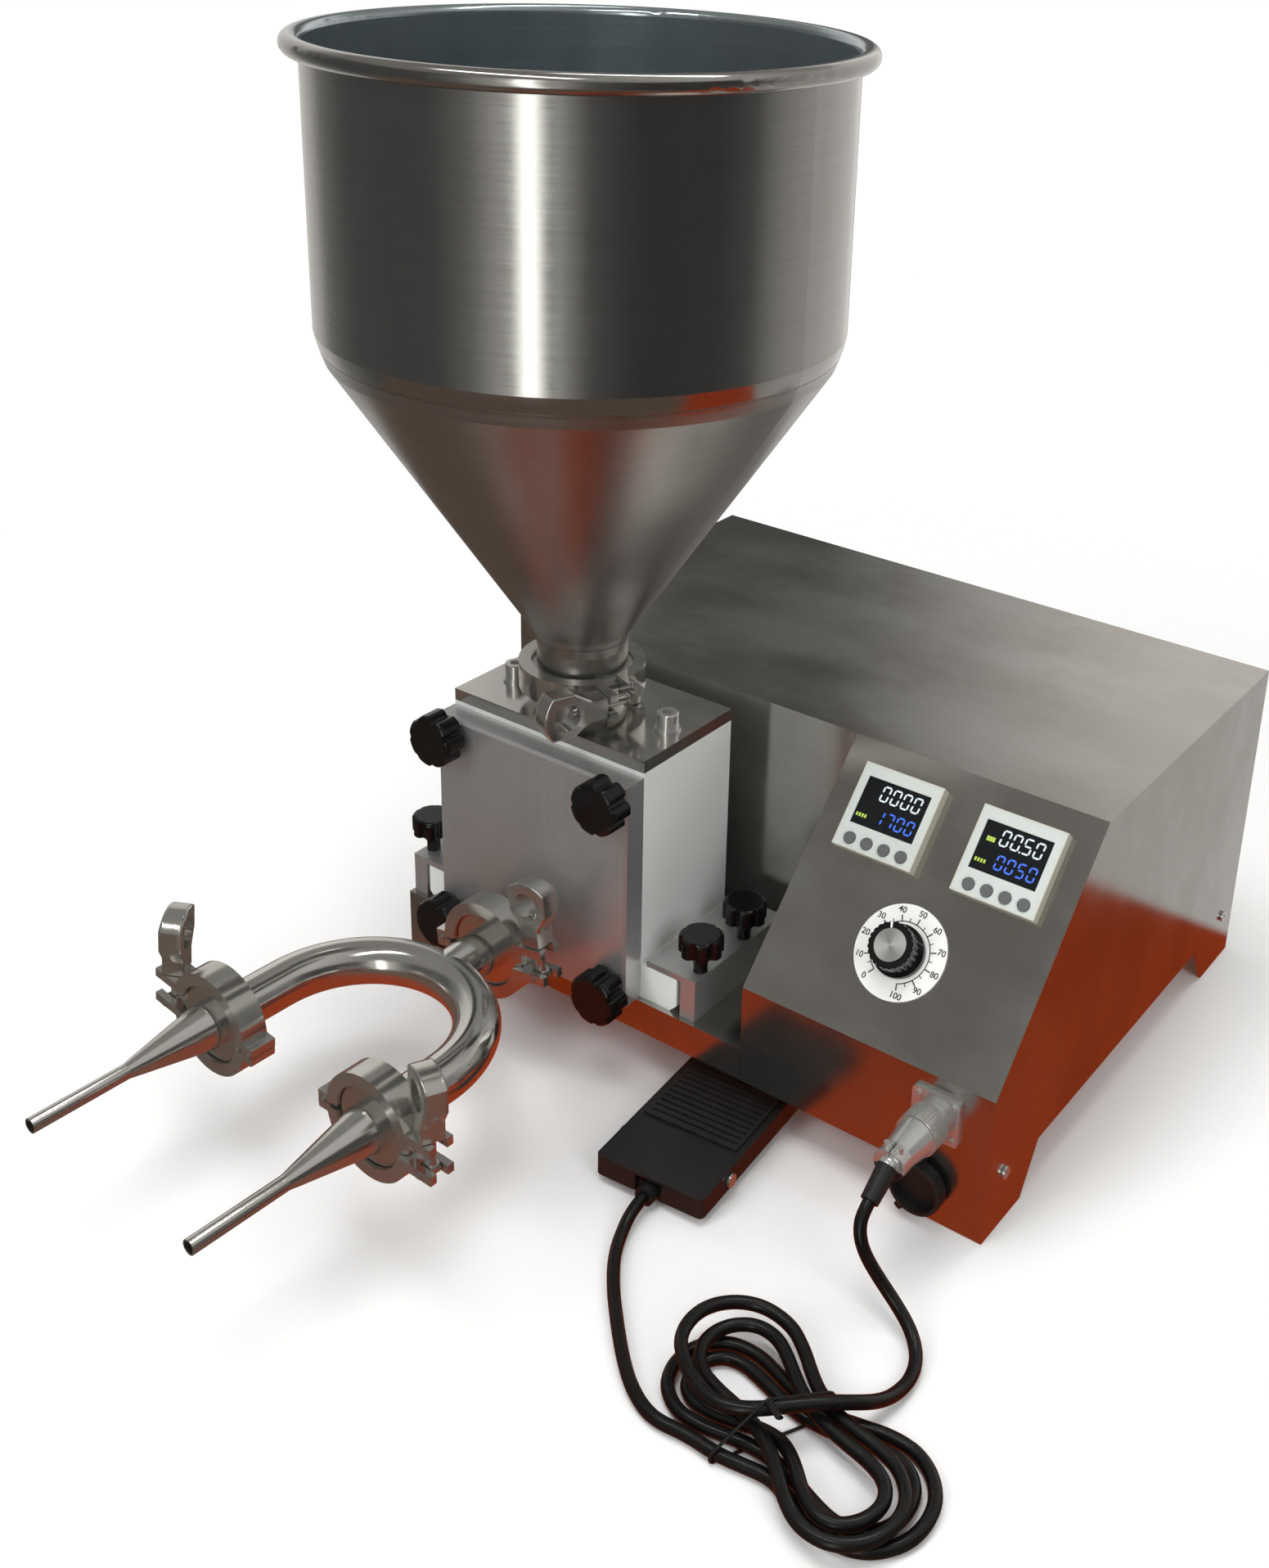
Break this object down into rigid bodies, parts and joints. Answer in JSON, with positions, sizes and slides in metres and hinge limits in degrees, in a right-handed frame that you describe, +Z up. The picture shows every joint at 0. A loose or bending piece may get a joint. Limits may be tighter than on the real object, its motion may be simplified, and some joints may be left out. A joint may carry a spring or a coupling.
{
  "type": "cake filling machine",
  "caption": "Table-top filling machine: hopper over a gear pump with a two-nozzle outlet bend, slanted control panel with timers and dial, and a corded foot pedal.",
  "frame": {"origin": "middle of the machine's outline on the table, without the cord and its plug", "axes": "+Z up, +Y to the rear, +X to the right seen from the front"},
  "size_m": [0.5059, 0.6208, 0.5611],
  "materials": {
    "cabinet_steel": "fine brushed",
    "polished_steel": "polished",
    "machined_steel": "turned",
    "cast_steel": "cast and tumbled",
    "machined_aluminium": "satin",
    "plated_metal": "satin chrome",
    "white_plastic": "smooth satin",
    "white_rubber": "smooth",
    "timer_cream": "satin",
    "timer_button": "satin",
    "knob_black": "satin",
    "pedal_black": "satin",
    "black_rubber": "matt",
    "cord_black": "smooth satin",
    "red_plastic": "gloss",
    "green_board": "coated"
  },
  "bodies": {
    "machine": {"housing": "cabinet_steel", "base_tray": "cabinet_steel", "rear_panel": "cabinet_steel", "fixing_screws": "polished_steel", "pump_body": "white_plastic", "pump_front_plate": "machined_aluminium", "pump_top_plate": "polished_steel", "outlet_ferrule": "polished_steel", "shaft_bearing": "machined_steel", "gear_motor": "machined_aluminium", "control_board": "green_board", "hopper": "polished_steel", "u_manifold": "polished_steel", "nozzles": "polished_steel", "clamp_gaskets": "white_rubber", "hopper_clamp": "cast_steel", "nozzle_clamps": "cast_steel", "side_clamp_bars": "machined_aluminium", "left_timer": "timer_cream", "right_timer": "timer_cream", "dial_plate": "white_plastic", "potentiometer": "machined_steel", "panel_socket": "plated_metal", "cord_plug": "plated_metal", "dust_cap": "black_rubber", "power_inlet": "knob_black", "pedal_base": "pedal_black", "pedal_spring": "machined_steel", "pedal_switch": "knob_black", "cord_hank": "cord_black", "cord_pedal_run": "cord_black", "cord_plug_run": "cord_black"},
    "drive_rotor": {"drive_gear": "machined_steel", "shaft_coupling": "machined_aluminium"},
    "idler_rotor": {"idler_gear": "machined_steel"},
    "speed_knob": {"dial_knob": "knob_black"},
    "power_rocker": {"power_switch": "red_plastic"},
    "treadle": {"pedal_treadle": "pedal_black", "treadle_pad": "black_rubber"},
    "plug_ring": {"coupling_ring": "plated_metal"},
    "hopper_wing_nut_body": {"hopper_wing_nut": "cast_steel"},
    "outlet_wing_nut_body": {"outlet_wing_nut": "cast_steel"},
    "left_wing_nut_body": {"left_wing_nut": "cast_steel"},
    "right_wing_nut_body": {"right_wing_nut": "cast_steel"},
    "front_knob_1_body": {"front_knob_1": "knob_black"},
    "front_knob_2_body": {"front_knob_2": "knob_black"},
    "front_knob_3_body": {"front_knob_3": "knob_black"},
    "front_knob_4_body": {"front_knob_4": "knob_black"},
    "bar_knob_1_body": {"bar_knob_1": "knob_black"},
    "bar_knob_2_body": {"bar_knob_2": "knob_black"},
    "bar_knob_3_body": {"bar_knob_3": "knob_black"},
    "bar_knob_4_body": {"bar_knob_4": "knob_black"},
    "left_timer_button_1_body": {"left_timer_button_1": "timer_button"},
    "left_timer_button_2_body": {"left_timer_button_2": "timer_button"},
    "left_timer_button_3_body": {"left_timer_button_3": "timer_button"},
    "left_timer_button_4_body": {"left_timer_button_4": "timer_button"},
    "right_timer_button_1_body": {"right_timer_button_1": "timer_button"},
    "right_timer_button_2_body": {"right_timer_button_2": "timer_button"},
    "right_timer_button_3_body": {"right_timer_button_3": "timer_button"},
    "right_timer_button_4_body": {"right_timer_button_4": "timer_button"}
  },
  "joints": [
    {"name": "drive_spin", "type": "hinge", "parent": "machine", "child": "drive_rotor", "pos_m": [-0.0544, 0.00727, 0.115], "axis": [0, 1, 0], "continuous": true},
    {"name": "idler_spin", "type": "hinge", "parent": "machine", "child": "idler_rotor", "pos_m": [-0.0964, 0.00727, 0.115], "axis": [0, 1, 0], "continuous": true},
    {"name": "speed_turn", "type": "hinge", "parent": "machine", "child": "speed_knob", "pos_m": [0.1436, 0.0049, 0.12873], "axis": [0, -0.7301, 0.6834], "range_deg": [-180, 120]},
    {"name": "power_rock", "type": "hinge", "parent": "machine", "child": "power_rocker", "pos_m": [0.1601, 0.30577, 0.112], "axis": [0, 0, 1], "range_deg": [0, 16]},
    {"name": "treadle_press", "type": "hinge", "parent": "machine", "child": "treadle", "pos_m": [0.06725, -0.07533, 0.011], "axis": [-0.9962, -0.0872, 0], "range_deg": [0, 2.5], "stiffness_Nm_per_rad": 12, "springref_deg": -2.86, "deforming": ["pedal_spring"]},
    {"name": "plug_ring_turn", "type": "hinge", "parent": "machine", "child": "plug_ring", "pos_m": [0.1891, -0.03773, 0.0656], "axis": [0, -1, 0], "continuous": true},
    {"name": "left_button_1_press", "type": "slide", "parent": "machine", "child": "left_timer_button_1_body", "axis": [0, 0.7301, -0.6834], "range_m": [0, 0.0007], "stiffness_N_per_m": 400, "springref_m": -0.001},
    {"name": "left_button_2_press", "type": "slide", "parent": "machine", "child": "left_timer_button_2_body", "axis": [0, 0.7301, -0.6834], "range_m": [0, 0.0007], "stiffness_N_per_m": 400, "springref_m": -0.001},
    {"name": "left_button_3_press", "type": "slide", "parent": "machine", "child": "left_timer_button_3_body", "axis": [0, 0.7301, -0.6834], "range_m": [0, 0.0007], "stiffness_N_per_m": 400, "springref_m": -0.001},
    {"name": "left_button_4_press", "type": "slide", "parent": "machine", "child": "left_timer_button_4_body", "axis": [0, 0.7301, -0.6834], "range_m": [0, 0.0007], "stiffness_N_per_m": 400, "springref_m": -0.001},
    {"name": "right_button_1_press", "type": "slide", "parent": "machine", "child": "right_timer_button_1_body", "axis": [0, 0.7301, -0.6834], "range_m": [0, 0.0007], "stiffness_N_per_m": 400, "springref_m": -0.001},
    {"name": "right_button_2_press", "type": "slide", "parent": "machine", "child": "right_timer_button_2_body", "axis": [0, 0.7301, -0.6834], "range_m": [0, 0.0007], "stiffness_N_per_m": 400, "springref_m": -0.001},
    {"name": "right_button_3_press", "type": "slide", "parent": "machine", "child": "right_timer_button_3_body", "axis": [0, 0.7301, -0.6834], "range_m": [0, 0.0007], "stiffness_N_per_m": 400, "springref_m": -0.001},
    {"name": "right_button_4_press", "type": "slide", "parent": "machine", "child": "right_timer_button_4_body", "axis": [0, 0.7301, -0.6834], "range_m": [0, 0.0007], "stiffness_N_per_m": 400, "springref_m": -0.001},
    {"name": "front_knob_1_turn", "type": "hinge", "parent": "machine", "child": "front_knob_1_body", "pos_m": [-0.1294, -0.03423, 0.178], "axis": [0, -1, 0], "continuous": true},
    {"name": "front_knob_2_turn", "type": "hinge", "parent": "machine", "child": "front_knob_2_body", "pos_m": [-0.0114, -0.03423, 0.178], "axis": [0, -1, 0], "continuous": true},
    {"name": "front_knob_3_turn", "type": "hinge", "parent": "machine", "child": "front_knob_3_body", "pos_m": [-0.1294, -0.03423, 0.0585], "axis": [0, -1, 0], "continuous": true},
    {"name": "front_knob_4_turn", "type": "hinge", "parent": "machine", "child": "front_knob_4_body", "pos_m": [-0.0114, -0.03423, 0.0585], "axis": [0, -1, 0], "continuous": true},
    {"name": "bar_knob_1_turn", "type": "hinge", "parent": "machine", "child": "bar_knob_1_body", "pos_m": [-0.1714, -0.00773, 0.09], "axis": [0, 0, 1], "continuous": true},
    {"name": "bar_knob_2_turn", "type": "hinge", "parent": "machine", "child": "bar_knob_2_body", "pos_m": [-0.1714, 0.03327, 0.09], "axis": [0, 0, 1], "continuous": true},
    {"name": "bar_knob_3_turn", "type": "hinge", "parent": "machine", "child": "bar_knob_3_body", "pos_m": [0.0306, -0.00773, 0.09], "axis": [0, 0, 1], "continuous": true},
    {"name": "bar_knob_4_turn", "type": "hinge", "parent": "machine", "child": "bar_knob_4_body", "pos_m": [0.0306, 0.03327, 0.09], "axis": [0, 0, 1], "continuous": true},
    {"name": "hopper_wing_nut_turn", "type": "hinge", "parent": "machine", "child": "hopper_wing_nut_body", "pos_m": [-0.04632, -0.02562, 0.2145], "axis": [-0.361, -0.9326, 0], "continuous": true},
    {"name": "outlet_wing_nut_turn", "type": "hinge", "parent": "machine", "child": "outlet_wing_nut_body", "pos_m": [-0.04389, -0.06023, 0.10725], "axis": [-0.14, 0, 0.9901], "continuous": true},
    {"name": "left_wing_nut_turn", "type": "hinge", "parent": "machine", "child": "left_wing_nut_body", "pos_m": [-0.17291, -0.19457, 0.10662], "axis": [0.1202, -0.0052, 0.9927], "continuous": true},
    {"name": "right_wing_nut_turn", "type": "hinge", "parent": "machine", "child": "right_wing_nut_body", "pos_m": [0.0171, -0.20287, 0.1025], "axis": [0, 0, 1], "continuous": true}
  ],
  "couplings": [
    {"joint": "idler_spin", "follows": "drive_spin", "ratio": -1}
  ]
}
